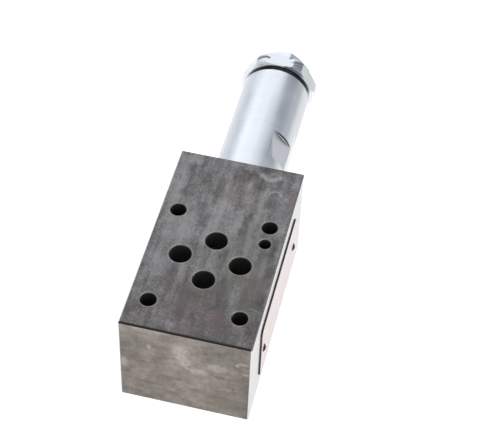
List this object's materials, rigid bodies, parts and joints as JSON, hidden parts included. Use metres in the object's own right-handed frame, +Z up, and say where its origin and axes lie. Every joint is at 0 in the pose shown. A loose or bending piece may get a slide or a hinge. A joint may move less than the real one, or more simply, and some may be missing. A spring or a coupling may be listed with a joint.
{
  "type": "hydraulic sandwich valve",
  "caption": "Ported block with an adjustable spring-loaded cartridge, stacked between a directional valve and its subplate to limit the pump pressure.",
  "frame": {"origin": "centre of the four mounting holes, on the underside", "axes": "+X along the cartridge towards its adjusting screw, +Z up from the underside to the top face"},
  "size_m": [0.1549, 0.0464, 0.04],
  "materials": {
    "block_metal": "ground and phosphated, satin",
    "zinc_plate": "bright zinc plate",
    "inner_steel": "hardened and ground",
    "spring_steel": "oiled spring steel",
    "seal_rubber": "matt black nitrile",
    "backup_plastic": "white fluoropolymer",
    "label_metal": "thin printed aluminium, bare",
    "rivet_metal": "drive rivet"
  },
  "bodies": {
    "valve_body": {"valve_block": "block_metal", "spring_sleeve": "zinc_plate", "hex_cap": "zinc_plate", "seat_cage": "inner_steel", "control_spring": "spring_steel", "label_plate": "label_metal", "label_rivet_plain_end": "rivet_metal", "label_rivet_cartridge_end": "rivet_metal", "port_seal_p": "seal_rubber", "port_seal_t": "seal_rubber", "port_seal_a": "seal_rubber", "port_seal_b": "seal_rubber", "sleeve_seal_ring": "seal_rubber", "cage_seal_ring": "seal_rubber", "cap_seal_ring": "seal_rubber", "cage_backup_ring_front": "backup_plastic", "cage_backup_ring_rear": "backup_plastic"},
    "poppet": {"poppet": "inner_steel", "spring_plate": "inner_steel"},
    "spring_carrier": {"spring_carrier": "inner_steel"},
    "adjusting_screw": {"adjusting_screw": "zinc_plate", "adjuster_seal_ring": "seal_rubber"},
    "lock_nut": {"lock_nut": "zinc_plate"}
  },
  "joints": [
    {"name": "poppet_lift", "type": "slide", "parent": "valve_body", "child": "poppet", "axis": [1, 0, 0], "range_m": [0, 0.0018], "stiffness_N_per_m": 1000, "springref_m": -0.0005, "deforming": ["control_spring"]},
    {"name": "carrier_travel", "type": "slide", "parent": "valve_body", "child": "spring_carrier", "axis": [-1, 0, 0], "range_m": [-0.003, 0.0045], "deforming": ["control_spring"]},
    {"name": "adjusting_screw_turn", "type": "hinge", "parent": "spring_carrier", "child": "adjusting_screw", "pos_m": [0.12, 0, 0.02], "axis": [-1, 0, 0], "range_deg": [-721, 1081]},
    {"name": "lock_nut_turn", "type": "hinge", "parent": "valve_body", "child": "lock_nut", "pos_m": [0.1164, 0, 0.02], "axis": [1, 0, 0], "range_deg": [0, 90]}
  ],
  "couplings": [
    {"joint": "adjusting_screw_turn", "follows": "carrier_travel", "rad_per_m": 4188.8}
  ]
}
